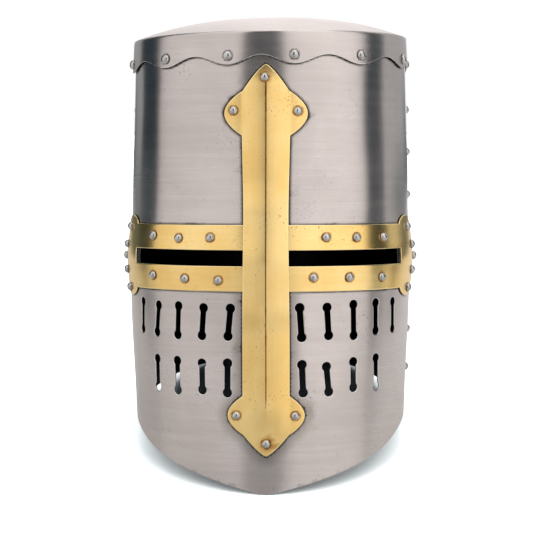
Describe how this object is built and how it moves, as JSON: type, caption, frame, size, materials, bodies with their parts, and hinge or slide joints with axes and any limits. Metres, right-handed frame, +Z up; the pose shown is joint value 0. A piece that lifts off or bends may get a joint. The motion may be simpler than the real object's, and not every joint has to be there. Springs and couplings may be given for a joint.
{
  "type": "great helm",
  "caption": "Flat-topped great helm of riveted steel plates, with a brass cross over the sight slit, rows of slotted breaths and a pointed chin.",
  "frame": {"origin": "middle of the box's bottom, on the surface that the helm stands on", "axes": "+Z up; the face looks to -Y; +X is the wearer's left; the helm leans back, its top towards +Y"},
  "size_m": [0.247, 0.3682, 0.3494],
  "materials": {
    "steel_plate": "satin steel sheet, brushed round the helm",
    "brass_cross": "brushed brass sheet with light tarnish near the rivets",
    "steel_rivet": "polished domed steel heads"
  },
  "bodies": {
    "root": {"crown_plate": "steel_plate", "brow_plate": "steel_plate", "face_plate": "steel_plate", "skull_plate": "steel_plate", "nape_plate": "steel_plate", "cross_upright": "brass_cross", "cross_arm_right": "brass_cross", "cross_arm_left": "brass_cross", "crown_rivet_01": "steel_rivet", "crown_rivet_02": "steel_rivet", "crown_rivet_03": "steel_rivet", "crown_rivet_04": "steel_rivet", "crown_rivet_05": "steel_rivet", "crown_rivet_06": "steel_rivet", "crown_rivet_07": "steel_rivet", "crown_rivet_08": "steel_rivet", "crown_rivet_09": "steel_rivet", "crown_rivet_10": "steel_rivet", "crown_rivet_11": "steel_rivet", "crown_rivet_12": "steel_rivet", "crown_rivet_13": "steel_rivet", "crown_rivet_14": "steel_rivet", "upright_rivet_01": "steel_rivet", "upright_rivet_02": "steel_rivet", "upright_rivet_03": "steel_rivet", "upright_rivet_04": "steel_rivet", "upright_rivet_05": "steel_rivet", "upright_rivet_06": "steel_rivet", "arm_rivet_right_01": "steel_rivet", "arm_rivet_right_02": "steel_rivet", "arm_rivet_right_03": "steel_rivet", "arm_rivet_right_04": "steel_rivet", "arm_rivet_right_05": "steel_rivet", "arm_rivet_right_06": "steel_rivet", "tip_rivet_right_01": "steel_rivet", "tip_rivet_right_02": "steel_rivet", "tip_rivet_right_03": "steel_rivet", "tip_rivet_right_04": "steel_rivet", "tip_rivet_right_05": "steel_rivet", "seam_rivet_right_01": "steel_rivet", "seam_rivet_right_02": "steel_rivet", "seam_rivet_right_03": "steel_rivet", "seam_rivet_right_04": "steel_rivet", "seam_rivet_right_05": "steel_rivet", "arm_rivet_left_01": "steel_rivet", "arm_rivet_left_02": "steel_rivet", "arm_rivet_left_03": "steel_rivet", "arm_rivet_left_04": "steel_rivet", "arm_rivet_left_05": "steel_rivet", "arm_rivet_left_06": "steel_rivet", "tip_rivet_left_01": "steel_rivet", "tip_rivet_left_02": "steel_rivet", "tip_rivet_left_03": "steel_rivet", "tip_rivet_left_04": "steel_rivet", "tip_rivet_left_05": "steel_rivet", "seam_rivet_left_01": "steel_rivet", "seam_rivet_left_02": "steel_rivet", "seam_rivet_left_03": "steel_rivet", "seam_rivet_left_04": "steel_rivet", "seam_rivet_left_05": "steel_rivet"}
  },
  "joints": []
}
